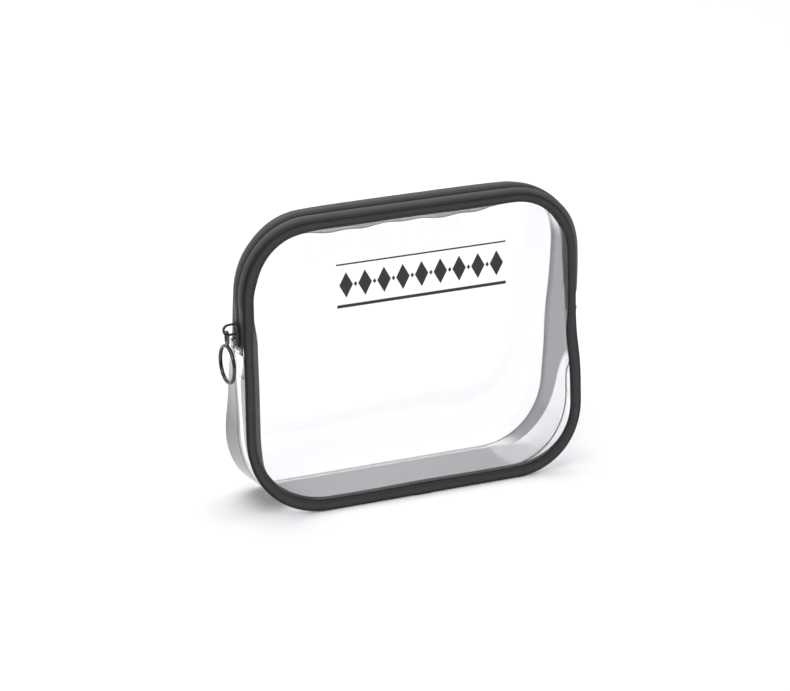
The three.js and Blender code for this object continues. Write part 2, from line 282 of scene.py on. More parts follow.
def gusset_point(s, depth, rise):
    """On the gusset: depth behind the front seam, rise above its skin. A depth of LANE is the back of the
    zipper lane, and one of 2 * LANE the back of the strip behind it."""
    v = np.asarray(depth, float) / LANE
    lane = np.minimum(v, 1)
    strip = np.clip(v - 1, 0, 1)
    x, height = rim(s, SEAM_INSET - rise + tuck(s) * lane)
    upper = smoothstep(WIDEST_Z, WAIST_Z, height)
    span = FRONT_HEIGHT - 2 * SEAM_INSET
    front_y = FRONT_Y + height * math.sin(FRONT_LEAN) + BINDING_THICK / 2 + SEAM_GAP
    scale_low = LANE_HALF_LOW / (HALF_LOW - SEAM_INSET)
    scale_high = LANE_HALF_HIGH / (HALF_HIGH - SEAM_INSET)
    scale = scale_low * (1 - upper) + scale_high * upper
    arch = np.sin(np.pi * lane) * upper
    lane_x = x * (1 + (scale - 1) * lane) * (1 + arch * ARCH_SIDE / HALF_HIGH)
    lane_x = lane_x + bulge(s) * np.sin(np.pi * lane) ** 1.3
    # drop takes a point's height from the leaning front seam, at 0, to the back of the lane, at 1.
    drop = np.minimum(1, lane / FLAT_BASE_FROM) * (1 - upper) + lane * upper
    top_rise = arch * ARCH_TOP * smoothstep(0.72, 1, height / FRONT_HEIGHT)
    lane_z = height * math.cos(FRONT_LEAN) * (1 - drop) + (height - SEAM_INSET) * LANE_TOP / span * drop
    back_x, back_height = back_rim(s, -rise)
    back_y = BACK_Y - back_height * math.sin(BACK_LEAN)
    lane_y = front_y + lane * LANE
    return np.stack(np.broadcast_arrays(
        lane_x * (1 - strip) + back_x * strip,
        lane_y * (1 - strip) + back_y * strip,
        (lane_z + top_rise) * (1 - strip) + back_height * math.cos(BACK_LEAN) * strip,
    ), -1)


# ---- mesh helpers ----
def make_mesh(name, points, faces, uvs=None, smooth=True):
    mesh = bpy.data.meshes.new(name)
    mesh.from_pydata([tuple(p) for p in points], [], faces)
    if uvs is not None:
        layer = mesh.uv_layers.new(name="UVMap")
        loops = np.zeros(len(mesh.loops), int)
        mesh.loops.foreach_get("vertex_index", loops)
        layer.data.foreach_set("uv", np.asarray(uvs)[loops].astype(np.float32).ravel())
    if smooth:
        mesh.shade_smooth()
    obj = bpy.data.objects.new(name, mesh)
    bpy.context.scene.collection.objects.link(obj)
    return obj


def closed_mesh(name, points, faces, uvs, smooth=True):
    """A mesh round a closed space, with its faces turned outwards."""
    obj = make_mesh(name, points, faces, uvs, smooth)
    bm = bmesh.new()
    bm.from_mesh(obj.data)
    bmesh.ops.recalc_face_normals(bm, faces=bm.faces)
    bm.to_mesh(obj.data)
    bm.free()
    return obj


def curve_through(points, steps):
    """Catmull-Rom curve through the points."""
    p = np.array(points, float)
    p = np.vstack((2 * p[0] - p[1], p, 2 * p[-1] - p[-2]))
    out = []
    for i in range(1, len(p) - 2):
        a, b, c, d = p[i - 1], p[i], p[i + 1], p[i + 2]
        for t in np.linspace(0, 1, steps, endpoint=False):
            squared = (2 * a - 5 * b + 4 * c - d) * t**2
            cubed = (3 * b - a - 3 * c + d) * t**3
            out.append(0.5 * (2 * b + (c - a) * t + squared + cubed))
    out.append(p[-2])
    return np.array(out)


def unit(vectors):
    return vectors / np.linalg.norm(vectors, axis=-1, keepdims=True)


def lengths(points):
    """Distance along a path to each of its points."""
    return np.concatenate(([0], np.cumsum(np.linalg.norm(np.diff(points, axis=0), axis=1))))


def squarer(value, power):
    """A sine or cosine pushed towards its limits, which squares a circle a little."""
    return np.sign(value) * np.abs(value) ** power


def tube_faces(rings, sides, closed=False):
    """Faces of a tube: its last ring meets its first one if it is closed, and both ends are capped if not."""
    faces = []
    for i in range(rings if closed else rings - 1):
        j = (i + 1) % rings
        for k in range(sides):
            m = (k + 1) % sides
            faces.append((i * sides + k, i * sides + m, j * sides + m, j * sides + k))
    if not closed:
        faces.append(tuple(range(sides))[::-1])
        faces.append(tuple(range((rings - 1) * sides, rings * sides)))
    return faces


def thicken(path, thick):
    """Closed section of even thickness about an open path."""
    tangent = unit(np.gradient(path, axis=0))
    normal = np.stack((-tangent[:, 1], tangent[:, 0]), -1)
    cap = tangent[-1] * thick * 0.3
    start_cap = -tangent[0] * thick * 0.3
    above = path + normal * thick / 2
    below = path - normal * thick / 2
    return np.vstack((above, [path[-1] + cap], below[::-1], [path[0] + start_cap]))


def sweep(name, place, section, s, closed):
    """Sweeps a closed section of (a, b) pairs along arc lengths s; place(s, a, b) gives the points.
    The section may be an array of its own for each s."""
    section = np.asarray(section, float)
    if section.ndim == 2:
        section = np.broadcast_to(section, (len(s),) + section.shape)
    rings, sides = section.shape[:2]
    points = place(s[:, None], section[:, :, 0], section[:, :, 1]).reshape(-1, 3)
    uvs = np.stack(np.broadcast_arrays(s[:, None], lengths(section[0])[None, :]), -1).reshape(-1, 2)
    return closed_mesh(name, points, tube_faces(rings, sides, closed), uvs)


def shell(name, grid, thick, closed):
    """A sheet of even thickness about a grid of points: first index along the bag's edge, second across."""
    rings, width = grid.shape[:2]
    along = np.roll(grid, -1, 0) - np.roll(grid, 1, 0) if closed else np.gradient(grid, axis=0)
    normal = unit(np.cross(along, np.gradient(grid, axis=1)))
    points = np.concatenate((grid + normal * thick / 2, (grid - normal * thick / 2)[:, ::-1]), 1)
    length, depth = lengths(grid[:, 0]), lengths(grid[0])
    uvs = np.stack(np.broadcast_arrays(length[:, None], np.concatenate((depth, depth[::-1]))[None]), -1)
    return closed_mesh(name, points.reshape(-1, 3), tube_faces(rings, 2 * width, closed), uvs.reshape(-1, 2))


def disc(name, edge, centre, normal, thick, wave):
    """A thin sheet inside a closed edge, in rings about its centre, with soft waves along its normal.
    The rings crowd a little towards the edge, where the waves die out."""
    rings, crowding, edge_hold = 44, 1.15, 6
    count = len(edge)
    t = np.linspace(0, 1, rings + 1)[1:]
    t = 1 - (1 - t) ** crowding
    flat = centre + (edge[None] - centre) * t[:, None, None]
    flat = np.vstack((centre[None], flat.reshape(-1, 3)))
    share = np.concatenate(([0], np.repeat(t, count)))
    middle = flat + normal * (wave(flat) * (1 - share**edge_hold))[:, None]
    points = np.vstack((middle + normal * thick / 2, middle - normal * thick / 2))
    under = len(middle)
    faces = []
    for k in range(count):
        m = (k + 1) % count
        faces.append((0, 1 + k, 1 + m))
        faces.append((under, under + 1 + m, under + 1 + k))
        for r in range(rings - 1):
            a, b = 1 + r * count, 1 + (r + 1) * count
            faces.append((a + k, b + k, b + m, a + m))
            faces.append((under + a + m, under + b + m, under + b + k, under + a + k))
        last = 1 + (rings - 1) * count
        faces.append((last + k, under + last + k, under + last + m, last + m))
    uvs = np.vstack((flat[:, (0, 2)], flat[:, (0, 2)]))
    return closed_mesh(name, points, faces, uvs)


def join_parts(name, parts, sharp_from=None, smooth=True):
    """Joins (points, faces) parts into one mesh; edges that turn by over sharp_from degrees stay sharp."""
    points, faces = [], []
    for part_points, part_faces in parts:
        first = len(points)
        points.extend(part_points)
        faces.extend(tuple(first + k for k in face) for face in part_faces)
    obj = closed_mesh(name, points, faces, np.zeros((len(points), 2)), smooth)
    if sharp_from:
        obj.data.set_sharp_from_angle(angle=math.radians(sharp_from))
    return obj


def tube(path, outward, radius, sides):
    """A round tube along a path, as points and faces; outward gives a direction across it at each point."""
    tangent = unit(np.gradient(path, axis=0))
    first = unit(np.cross(tangent, outward))
    second = np.cross(tangent, first)
    angle = np.linspace(0, 2 * np.pi, sides, endpoint=False)[:, None]
    points = path[:, None] + radius * (np.cos(angle) * first[:, None] + np.sin(angle) * second[:, None])
    return points.reshape(-1, 3), tube_faces(len(path), sides)


def wire(path, plane_normal, half_in, half_across, closed):
    """A wire of squarish section along a flat path: half_in in the path's plane, half_across out of it."""
    sides, power = 16, 1 / 1.3
    path = np.array(path)
    ahead = unit(np.roll(path, -1, 0) - np.roll(path, 1, 0) if closed else np.gradient(path, axis=0))
    normal = np.array(plane_normal, float)
    side = np.cross(ahead, normal)
    turn = np.linspace(0, 2 * np.pi, sides, endpoint=False)
    a = squarer(np.cos(turn), power)[None, :, None] * half_in
    b = squarer(np.sin(turn), power)[None, :, None] * half_across
    points = path[:, None] + side[:, None] * a + normal * b
    return points.reshape(-1, 3), tube_faces(len(path), sides, closed)


# ---- materials ----
UNTINTED = (0.86, 0.86, 0.87)     # the smoky sheet where it is clear
# On the right the haze starts at a height of HAZE_FROM_Z - HAZE_SLOPE * y - HAZE_CURVE * y * y.
HAZE_FROM_Z = 56 * MM
HAZE_SLOPE = 2.04
HAZE_CURVE = 109
HAZE_THINNER_RIGHT = 0.2          # share of the haze that the right side lacks


def new_material(name):
    """A new material with its node tree and its shader."""
    mat = bpy.data.materials.new(name)
    mat.use_nodes = True
    return mat, mat.node_tree, mat.node_tree.nodes["Principled BSDF"]


def set_inputs(tree, node, inputs):
    """Sets a node's inputs, each given by its name or number, to plain values or other nodes' outputs."""
    for name, value in inputs.items():
        if isinstance(value, bpy.types.NodeSocket):
            tree.links.new(value, node.inputs[name])
        else:
            node.inputs[name].default_value = value


def add_node(tree, kind, inputs, **settings):
    node = tree.nodes.new("ShaderNode" + kind)
    for name, value in settings.items():
        setattr(node, name, value)
    set_inputs(tree, node, inputs)
    return node


def axes(tree, coordinates):
    """The X, Y and Z of a set of texture coordinates."""
    where = add_node(tree, "TexCoord", {}).outputs[coordinates]
    return add_node(tree, "SeparateXYZ", {"Vector": where}).outputs


def noise(tree, scale, detail):
    where = add_node(tree, "TexCoord", {}).outputs["Object"]
    return add_node(tree, "TexNoise", {"Vector": where, "Scale": scale, "Detail": detail}).outputs["Fac"]


def spread(tree, value, low, high):
    """Maps a 0 to 1 value to low to high."""
    return add_node(tree, "MapRange", {"Value": value, "To Min": low, "To Max": high}).outputs["Result"]


def eased(tree, value, start, end, low=0.0, high=1.0):
    """Goes smoothly from low to high as a value goes from start to end."""
    inputs = {"Value": value, "From Min": start, "From Max": end, "To Min": low, "To Max": high}
    return add_node(tree, "MapRange", inputs, interpolation_type="SMOOTHSTEP").outputs["Result"]


def mixed(tree, factor, a, b, blend_type="MIX"):
    inputs = {"Factor": factor, "A": a, "B": b}
    return add_node(tree, "Mix", inputs, data_type="RGBA", blend_type=blend_type).outputs["Result"]


def colours(tree, value, low, high):
    """Goes from one colour to another as a value goes from 0 to 1."""
    return mixed(tree, value, (*low, 1), (*high, 1))


def bump(tree, height, strength, distance, before=None):
    inputs = {"Height": height, "Strength": strength, "Distance": distance}
    if before is not None:
        inputs["Normal"] = before
    return add_node(tree, "Bump", inputs).outputs["Normal"]


def calculate(tree, operation, *values):
    return add_node(tree, "Math", dict(enumerate(values)), operation=operation).outputs[0]


def weave(tree, pitch_along, pitch_across):
    """Height of a plain weave from the UV map, which is in metres."""
    place = axes(tree, "UV")
    ribs = []
    for axis, pitch in (("X", pitch_along), ("Y", pitch_across)):
        turns = calculate(tree, "MULTIPLY", place[axis], 2 * math.pi / pitch)
        ribs.append(calculate(tree, "SINE", turns))
    return calculate(tree, "MULTIPLY", *ribs)


def paint_shade_across(tree, colour, span, painted_shade_stops):
    """Paints shade and a highlight across a strip's width as a colour ramp over the UV's Y: the stops are
    (place, level) pairs, places from 0 to span.
    """
    share = calculate(tree, "DIVIDE", axes(tree, "UV")["Y"], span)
    ramp = add_node(tree, "ValToRGB", {"Fac": share})
    ramp.color_ramp.interpolation = "EASE"
    elements = ramp.color_ramp.elements
    elements.remove(elements[1])
    for place, level in painted_shade_stops:
        elements.new(place / span).color = (level, level, level, 1)
    elements.remove(elements[0])
    return mixed(tree, 1, colour, ramp.outputs["Color"], "MULTIPLY")


def fabric(name, dark, light, rough, pitch, strength, sheen=0.25, gloss=0.45, span=0, painted_shade_stops=()):
    """Woven cloth: threads at the given pitch, a slow mottle and soft puckers, with shade and a highlight
    painted across the strip if stops are given.
    """
    mat, tree, shader = new_material(name)
    mottle = noise(tree, 240, 4)
    colour = colours(tree, mottle, dark, light)
    # Painted shade in the strip's grooves and edges, and a painted highlight on its crest.
    if painted_shade_stops:
        colour = paint_shade_across(tree, colour, span, painted_shade_stops)
    woven = bump(tree, weave(tree, pitch, pitch * 0.8), strength, 0.08 * MM)
    set_inputs(tree, shader, {
        "Base Color": colour,
        "Roughness": spread(tree, mottle, rough - 0.07, rough + 0.07),
        "Normal": bump(tree, noise(tree, 90, 2), 0.25, 0.5 * MM, woven),
        "Sheen Weight": sheen,
        "Sheen Roughness": 0.45,
        "Specular IOR Level": gloss,
    })
    return mat


def vinyl(name, dark, light, rough, haze=None):
    """Clear soft sheet. Shadow rays pass straight through, so that lamps light what is behind it.
    haze, if given, makes a value from 0 to 1 that takes the sheet from clear to its own tint."""
    mat, tree, shader = new_material(name)
    tint = colours(tree, noise(tree, 22, 3), dark, light)
    if haze:
        tint = mixed(tree, haze(tree), (*UNTINTED, 1), tint)
    set_inputs(tree, shader, {
        "Base Color": tint,
        "Roughness": spread(tree, noise(tree, 60, 3), rough, rough + 0.05),
        "Normal": bump(tree, noise(tree, 30, 2), 0.12, 1.5 * MM),
        "Transmission Weight": 1,
        "IOR": 1.5,
    })
    is_shadow = add_node(tree, "LightPath", {}).outputs["Is Shadow Ray"]
    clear = add_node(tree, "BsdfTransparent", {"Color": (*light, 1)})
    mix = add_node(tree, "MixShader", {0: is_shadow, 1: shader.outputs[0], 2: clear.outputs[0]})
    set_inputs(tree, tree.nodes["Material Output"], {"Surface": mix.outputs[0]})
    return mat


def side_haze(tree):
    """Haze of the back strip: smoky on the sides, clear over the top and on the base. On the right it starts
    along a curve that rises from the back of the base to the front of the strip."""
    place = axes(tree, "Object")
    is_right = calculate(tree, "GREATER_THAN", place["X"], 0)
    slope = calculate(tree, "ADD", calculate(tree, "MULTIPLY", place["Y"], HAZE_CURVE), HAZE_SLOPE)
    start = calculate(tree, "SUBTRACT", calculate(tree, "MULTIPLY", place["Y"], slope), HAZE_FROM_Z)
    past_start = calculate(tree, "ADD", place["Z"], calculate(tree, "MULTIPLY", start, is_right))
    above_base = eased(tree, place["Z"], 1.5 * MM, 7 * MM)
    above_start = eased(tree, past_start, -3 * MM, 3 * MM)
    below_top = eased(tree, place["Z"], 148 * MM, 132 * MM)
    haze = calculate(tree, "MULTIPLY", calculate(tree, "MULTIPLY", above_base, above_start), below_top)
    missing = calculate(tree, "MULTIPLY", is_right, HAZE_THINNER_RIGHT)
    return calculate(tree, "MULTIPLY", haze, calculate(tree, "SUBTRACT", 1, missing))


def plated(name):
    """Polished dark plating with faint wear."""
    mat, tree, shader = new_material(name)
    wear = noise(tree, 420, 4)
    set_inputs(tree, shader, {
        "Base Color": colours(tree, wear, (0.05, 0.05, 0.054), (0.1, 0.1, 0.107)),
        "Roughness": spread(tree, wear, 0.1, 0.24),
        "Normal": bump(tree, noise(tree, 1500, 2), 0.05, 0.05 * MM),
        "Metallic": 1,
    })
    return mat


def matt(name, dark, light, rough, scale):
    """A dull solid surface with a fine grain."""
    mat, tree, shader = new_material(name)
    grain = noise(tree, scale, 3)
    set_inputs(tree, shader, {
        "Base Color": colours(tree, grain, dark, light),
        "Roughness": spread(tree, grain, rough - 0.06, rough + 0.06),
        "Normal": bump(tree, grain, 0.15, 0.05 * MM),
    })
    return mat


# Painted shade across a strip's section: dark in its grooves and along its turned edges, lightest on its lit
# face as a painted highlight. (distance round the section, share of its colour).
# The binding's painted shade: dark along its rounded outer edge, which the top lamp lights, in the stitch
# groove and along its turned inner edge; darker on its inner face.
BINDING_PAINTED_SHADE = (
    (0.3 * MM, 0.12), (1.4 * MM, 0.3), (2.8 * MM, 0.95), (4.6 * MM, 1.0), (5.7 * MM, 0.7),
    (6.5 * MM, 0.9), (7.4 * MM, 0.25), (8.4 * MM, 0.3), (17.0 * MM, 0.6),
)
# The tape's painted shade: dark at its sewn edge, in the groove at its lip and on its underside, where shade
# falls; its crest, left lightest, is a painted highlight.
TAPE_PAINTED_SHADE = (
    (0.4 * MM, 0.08), (1.6 * MM, 0.16), (3.0 * MM, 0.8), (4.2 * MM, 1.0), (5.2 * MM, 0.75),
    (6.6 * MM, 0.3), (7.8 * MM, 0.1), (14.0 * MM, 0.12),
)
BINDING = fabric("binding_fabric", (0.04, 0.037, 0.04), (0.058, 0.054, 0.057), 0.55, 0.5 * MM, 0.35,
                 sheen=0.04, gloss=0.22, span=30 * MM, painted_shade_stops=BINDING_PAINTED_SHADE)
TAPE = fabric("zipper_tape_fabric", (0.06, 0.058, 0.061), (0.085, 0.082, 0.086), 0.5, 0.42 * MM, 0.45,
              sheen=0.1, gloss=0.35, span=17 * MM, painted_shade_stops=TAPE_PAINTED_SHADE)
THREAD = fabric("sewing_thread", (0.012, 0.012, 0.013), (0.03, 0.03, 0.031), 0.55, 0.3 * MM, 0.4)
NYLON = matt("coil_nylon", (0.012, 0.012, 0.013), (0.022, 0.022, 0.023), 0.38, 900)
CLEAR = vinyl("clear_vinyl", (0.965, 0.965, 0.97), (0.99, 0.99, 0.992), 0.02)
SMOKY = vinyl("smoky_vinyl", (0.07, 0.07, 0.075), (0.112, 0.112, 0.118), 0.06, side_haze)
SEAM = vinyl("seam_vinyl", (0.16, 0.16, 0.168), (0.45, 0.45, 0.46), 0.12)
GUNMETAL = plated("gunmetal_plating")
LACQUER = matt("black_lacquer", (0.01, 0.01, 0.011), (0.018, 0.018, 0.019), 0.34, 600)
INK = matt("print_ink", (0.012, 0.012, 0.013), (0.024, 0.024, 0.025), 0.42, 700)


def finish_piece(obj, mat, body=None, hides=()):
    """Gives a piece its material; it rides on body, or has its placement baked into its mesh if body is None.
    """
    obj.data.materials.append(mat)
    if body:
        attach(obj, body)
    else:
        low = front_plane(0, BEND_FROM, 0)
        high = front_plane(0, BEND_TO, 0)
        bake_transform(obj)
    if hides:
        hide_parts(*hides)


# ---- front: clear window, binding, stitches, print ----
def soft_waves(points):
    """Slow waves of a hand-sewn sheet, in metres."""
    x, z = points[:, 0], points[:, 2]
    slow = np.sin(x * 41 + 1.1) * np.sin(z * 37 + 0.4)
    quick = np.sin(x * 83 - z * 52 + 2.0) * np.sin(z * 71 + x * 29)
    return (0.45 * slow + 0.22 * quick) * MM


def front_window():
    s = np.linspace(0, PERIMETER, 360, endpoint=False)
    edge = front_point(s, SEAM_INSET, 0)
    centre = front_plane(0, FRONT_HEIGHT / 2, 0)
    normal = np.array((0, -math.cos(FRONT_LEAN), math.sin(FRONT_LEAN)))
    window = disc("front_window", edge, centre, normal, VINYL, soft_waves)
    finish_piece(window, CLEAR, hides=("front_panel_lower", "front_panel_upper"))


def near(s, middle, reach):
    """1 at the arc length middle, falling smoothly to 0 at reach away from it, round the closed outline."""
    away = np.abs(np.mod(s - middle + PERIMETER / 2, PERIMETER) - PERIMETER / 2)
    return 1 - smoothstep(reach * 0.6, reach, away)


def binding_widths(s):
    """Widths of the binding's front and inner faces, which vary a little round the bag as sewn."""
    top = near(s, PERIMETER / 2, 130 * MM)
    lower_left = near(s, arc_at_height(72 * MM, left=True), 50 * MM)
    upper_right = near(s, arc_at_height(118 * MM), 36 * MM)
    upper_left = near(s, arc_at_height(160 * MM, left=True), 36 * MM)
    base = near(s, 0, 120 * MM)
    wander = 0.15 * MM * np.sin(2 * np.pi * s * 9 / PERIMETER + 1.0)
    front = BINDING_WIDTH + wander - 1.3 * MM * top - 0.9 * MM * lower_left
    front = front - 1.5 * MM * upper_right + 0.8 * MM * upper_left
    inner = front + 0.2 * MM + 2.9 * MM * lower_left + 1.4 * MM * base * (1 - lower_left)
    return front, inner


def binding_face(width):
    """One puffed face of the folded strip as (inset, out): a rounded outer edge, a groove along the stitches
    and a turned inner edge."""
    rounded_to, groove_reach, turned_from = 2.4 * MM, 0.45 * MM, width - 0.9 * MM
    share = np.concatenate((np.linspace(0, 1, 9) ** 2 * 0.37, np.linspace(0.42, 1, 17)))
    inset = share * width
    out = BINDING_THICK / 2 * (1 - (1 - np.clip(inset / rounded_to, 0, 1)) ** 2.3) ** 0.5
    out = out - 0.3 * MM * np.exp(-(((inset - stitch_line(width)) / groove_reach) ** 2))
    out = out - 0.66 * MM * smoothstep(turned_from, width, inset) ** 1.5
    return np.stack((inset, out), -1)


def stitch_line(width):
    return width - 1.4 * MM


def binding_section(front_width, inner_width):
    """Section of the folded strip round the front's edge as (inset, out), with a slot for the sheet."""
    front = binding_face(front_width)
    inner = binding_face(inner_width)[:0:-1] * (1, -1)
    gap = 0.32 * MM
    slot = [
        (front_width - 0.1 * MM, gap), (4 * MM, gap), (1.5 * MM, gap), (1 * MM, 0),
        (1.5 * MM, -gap), (4 * MM, -gap), (inner_width - 0.1 * MM, -gap),
    ]
    return np.vstack((front, slot, inner))


def binding():
    """The folded strip, drawn in a little at each stitch."""
    s = np.linspace(0, PERIMETER, 1040, endpoint=False)
    section = np.array([binding_section(*widths) for widths in zip(*binding_widths(s))])
    line_at = stitch_line(binding_widths(s)[0])[:, None]
    near_stitch = np.exp(-(((section[:, :, 0] - line_at) / (1.1 * MM)) ** 2))
    pucker = 0.05 * MM * np.cos(2 * np.pi * s / STITCH_PITCH)[:, None] * near_stitch
    face = np.sign(section[:, :, 1]) * (np.abs(section[:, :, 1]) > 0.5 * MM)
    section[:, :, 1] += face * pucker
    piece = sweep("front_binding", front_point, section, s, closed=True)
    finish_piece(piece, BINDING, hides=("front_binding_lower", "front_binding_upper"))


def binding_lap():
    """The binding's folded end, lapped over its start at the middle of the base."""
    s = np.linspace(-1.5 * MM, 9 * MM, 24)
    sections = np.array([binding_section(*widths) for widths in zip(*binding_widths(s))])
    swell = 0.22 * MM * (1 - 0.5 * smoothstep(8 * MM, 9 * MM, s) - 0.5 * smoothstep(-0.7 * MM, -1.5 * MM, s))
    outside = np.abs(sections[:, :, 1]) > 0.5 * MM
    edge = sections[:, :, 0] < 1 * MM
    sections[:, :, 1] += np.sign(sections[:, :, 1]) * outside * swell[:, None]
    sections[:, :, 0] -= edge * swell[:, None]
    piece = sweep("front_binding_lap", front_point, sections, s, closed=False)
    finish_piece(piece, BINDING, body="pouch")


def binding_stitches(name, face, out_sign):
    """A row of sewn threads along one face of the binding: each stitch is a short capsule, sunk at both ends.
    face is 0 for the front face and 1 for the inner one."""
    sides, along = 6, 7
    s_from, s_to = 10 * MM, PERIMETER - 3 * MM
    thread_radius = 0.17 * MM
    t = np.linspace(-1, 1, along)
    turn = np.linspace(0, 2 * np.pi, sides, endpoint=False)
    level = BINDING_THICK / 2 - 0.27 * MM - 0.3 * MM * np.abs(t[:, None]) ** 3
    thin = thread_radius * np.sqrt(np.clip(1 - np.abs(t[:, None]) ** 6, 0.15, 1))
    parts = []
    for n in range(int((s_to - s_from) / STITCH_PITCH)):
        s = s_from + (n + 0.5 + 0.4 * t) * STITCH_PITCH
        inset = stitch_line(binding_widths(s)[face])[:, None] + thin * np.cos(turn)
        out = out_sign * (level + thin * np.sin(turn))
        parts.append((front_point(s[:, None], inset, out).reshape(-1, 3), tube_faces(along, sides)))
    finish_piece(join_parts(name, parts), THREAD)


def lozenge(x, height, half_wide, half_tall):
    low, high = height - half_tall, height + half_tall
    return [(x - half_wide, height), (x, low), (x + half_wide, height), (x, high)]


def bar(x_from, x_to, height, half_tall):
    low, high = height - half_tall, height + half_tall
    return [(x_from, low), (x_to, low), (x_to, high), (x_from, high)]


def printed_motif():
    """A plain printed ornament on the window: two rules, a row of lozenges and small dots between them."""
    left, right, middle = -46 * MM, 58 * MM, 130 * MM
    lozenges = 9
    print_from, print_to = 0.22 * MM, 0.27 * MM
    shapes = [bar(left, right, middle + 12 * MM, 0.45 * MM), bar(left, right, middle - 12 * MM, 0.9 * MM)]
    pitch = (right - left) / lozenges
    for i in range(lozenges):
        x = left + (i + 0.5) * pitch
        shapes.append(lozenge(x, middle, pitch * 0.36, 7.4 * MM))
        if i:
            shapes.append(lozenge(x - pitch / 2, middle, 1.1 * MM, 1.5 * MM))
    parts = []
    for shape in shapes:
        x, height = np.array(shape).T
        waves = soft_waves(front_plane(x, height, 0))
        layers = [front_plane(x, height, waves + out) for out in (print_from, print_to)]
        parts.append((np.vstack(layers), tube_faces(2, len(shape))))
    finish_piece(join_parts("printed_motif", parts, smooth=False), INK)


# ---- back ----
def back_panel():
    s = np.linspace(0, PERIMETER, 360, endpoint=False)
    edge = back_point(s, 0.4 * MM, SHEET)
    centre = back_plane(0, BACK_HEIGHT / 2, SHEET)
    normal = np.array((0, math.cos(BACK_LEAN), math.sin(BACK_LEAN)))
    panel = disc("back_panel_sheet", edge, centre, normal, VINYL, soft_waves)
    finish_piece(panel, CLEAR, body="pouch", hides=("back_panel",))


def back_strip():
    """Smoky strip from under the zipper's back edge to the back panel, with a flange inside its edge."""
    s = np.linspace(0, PERIMETER, 420, endpoint=False)
    lap_from, lap_full = arc_at_height(50 * MM), arc_at_height(62 * MM)
    lap = SMOKY_LAP * smoothstep(lap_from, lap_full, s) * (s < ZIP_START + 12 * MM)
    start = STRIP_FROM - lap[:, None]
    depth = start + (2 * LANE - 0.6 * MM - start) * np.linspace(0, 1, 19)
    rise = np.where(depth < LANE, -0.95 * MM, -0.3 * MM)
    across = gusset_point(s[:, None], depth, rise)
    flange_inset = np.array((0.5, 0.9, 1.4, 1.9)) * MM
    flange_out = np.array((-0.2, -0.3, -0.3, -0.3)) * MM
    flange = back_point(s[:, None], flange_inset, flange_out)
    piece = shell("gusset_back_strip_sheet", np.concatenate((across, flange), 1), VINYL, closed=True)
    finish_piece(piece, SMOKY, body="pouch", hides=("gusset_back_strip",))


# ---- zipper lane ----
def crown(depth):
    """Slight fullness of the clear strip across its width."""
    return 0.35 * MM * np.sin(np.pi * depth / depth[-1])


def lower_strip():
    """Clear strip below the zipper, from the front seam to the smoky strip; its ends lap over the tapes."""
    s = np.linspace(ZIP_STOP - STRIP_LAP - PERIMETER, ZIP_START + STRIP_LAP, 380)
    depth = np.linspace(0.2 * MM, 12.9 * MM, 15)
    from_end = np.minimum(s - s[0], s[-1] - s)[:, None]
    over_tape = 0.7 * MM * (1 - smoothstep(STRIP_LAP * 1.2, STRIP_LAP * 3.2, from_end))
    grid = gusset_point(s[:, None], depth, over_tape + crown(depth) - 0.15 * MM)
    piece = shell("gusset_front_strip_sheet", grid, VINYL, closed=False)
    finish_piece(piece, CLEAR, body="pouch", hides=("gusset_front_strip",))


def top_seam_allowance():
    """Uneven cut edge of the lane's lining, which shows through the window under the top binding."""
    middle = PERIMETER / 2
    s = np.linspace(middle - 62 * MM, middle + 86 * MM, 260)
    wander = 1 + 0.2 * np.sin(2 * np.pi * s / (61 * MM)) + 0.16 * np.sin(2 * np.pi * s / (23 * MM) + 1)
    ends = smoothstep(0, 26 * MM, np.minimum(s - s[0], s[-1] - s))
    reach = 1.4 * MM + 2.5 * MM * wander * ends
    inset = 4 * MM + np.linspace(0, 1, 6) * reach[:, None]
    piece = shell("top_seam_allowance", front_point(s[:, None], inset, -2.0 * MM), LINING, closed=False)
    finish_piece(piece, SEAM)


def side_seam_allowance():
    """Cut edge of the lower strip's lining behind the binding: deep at mid height, shallow along the base."""
    s = np.linspace(ZIP_STOP + 5 * MM - PERIMETER, ZIP_START - 1 * MM, 300)
    height = rim(s, 0)[1]
    reach = 1.6 * MM + 4.6 * MM * smoothstep(14 * MM, 58 * MM, height)
    reach = reach + 0.3 * MM * np.sin(2 * np.pi * s / (31 * MM))
    reach = reach * (0.3 + 0.7 * smoothstep(0, 16 * MM, s - s[0]))
    depth = 0.3 * MM + np.linspace(0, 1, 6) * reach[:, None]
    piece = shell("side_seam_allowance", gusset_point(s[:, None], depth, -0.7 * MM), LINING, closed=False)
    finish_piece(piece, SEAM, body="pouch")


def strip_hem():
    """The turned edge of the clear strip, sewn across the left end of the zipper below the slider."""
    s = np.linspace(ZIP_STOP - STRIP_LAP, ZIP_STOP + 1 * MM, 12)
    depth = np.linspace(0.6 * MM, STRIP_FROM, 15)
    grid = gusset_point(s[:, None], depth, 1.05 * MM + crown(depth))
    piece = shell("left_strip_hem", grid, VINYL, closed=False)
    finish_piece(piece, CLEAR, body="pouch")


def tape_line(sewn_rise):
    """Centre line of a zipper tape's section, from its sewn edge to its rolled lip: (depth, rise) in mm."""
    points = [
        (0.35, sewn_rise), (0.9, sewn_rise * 0.55), (1.9, -0.1), (3.3, 0.38),
        (4.6, 0.15), (5.5, -0.65), (5.95, -1.45), (5.75, -1.9),
    ]
    return curve_through(points, 5) * MM


def puffed(s):
    """1 where the tape lies puffed, 0 where the slider or a sewn end holds it flat."""
    by_slider = smoothstep(9 * MM, 16 * MM, np.abs(s - SLIDER_ARC + 1 * MM))
    by_ends = smoothstep(0, 14 * MM, np.minimum(s - ZIP_START, ZIP_STOP - s))
    return by_slider * by_ends


